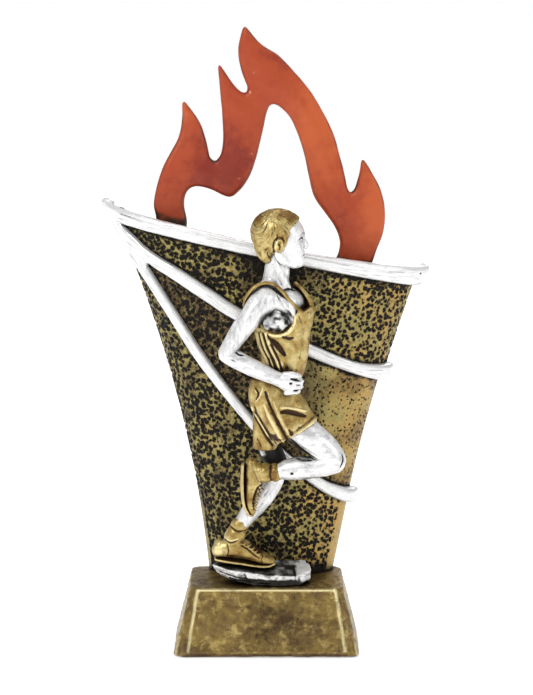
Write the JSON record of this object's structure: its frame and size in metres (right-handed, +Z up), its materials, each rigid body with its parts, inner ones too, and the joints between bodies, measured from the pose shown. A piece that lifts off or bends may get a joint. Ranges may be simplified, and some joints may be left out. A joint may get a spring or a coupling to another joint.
{
  "type": "figure trophy",
  "caption": "Athletics award: a runner in relief on a rock in front of a tapered torch with a pierced flame, on a tapered plinth.",
  "frame": {"origin": "on the underside of the base, below the middle of the plinth's top face", "axes": "+Z up, +X to the right seen from the front, the front of the trophy faces -Y"},
  "size_m": [0.1015, 0.0436, 0.2],
  "materials": {
    "felt_pad": "matt felt",
    "bronze_body": "antique bronze paint on cast resin, dark wash in the hammered texture",
    "silver_bands": "antique silver paint on cast resin, grey streaks",
    "flame_copper": "satin copper-orange metallic paint",
    "rock_silver": "antique silver paint with black wash",
    "skin_silver": "antique silver paint with dark wash in the creases",
    "kit_gold": "antique gold paint with brown wash in the folds"
  },
  "bodies": {
    "root": {"base_pad": "felt_pad", "plinth": "bronze_body", "torch_shell": "bronze_body", "rim_band": "silver_bands", "middle_band": "silver_bands", "lower_band": "silver_bands", "flame": "flame_copper", "rock_slab": "rock_silver", "head": "skin_silver", "hair": "kit_gold", "neck": "skin_silver", "vest": "kit_gold", "shorts": "kit_gold", "right_upper_arm": "skin_silver", "right_forearm": "skin_silver", "right_hand": "skin_silver", "left_upper_arm": "skin_silver", "left_forearm": "skin_silver", "right_thigh": "skin_silver", "right_shin": "skin_silver", "left_thigh": "skin_silver", "left_shin": "skin_silver", "right_sock": "kit_gold", "left_sock": "kit_gold", "right_trainer": "kit_gold", "left_trainer": "kit_gold", "right_sole": "kit_gold", "left_sole": "kit_gold"}
  },
  "joints": []
}
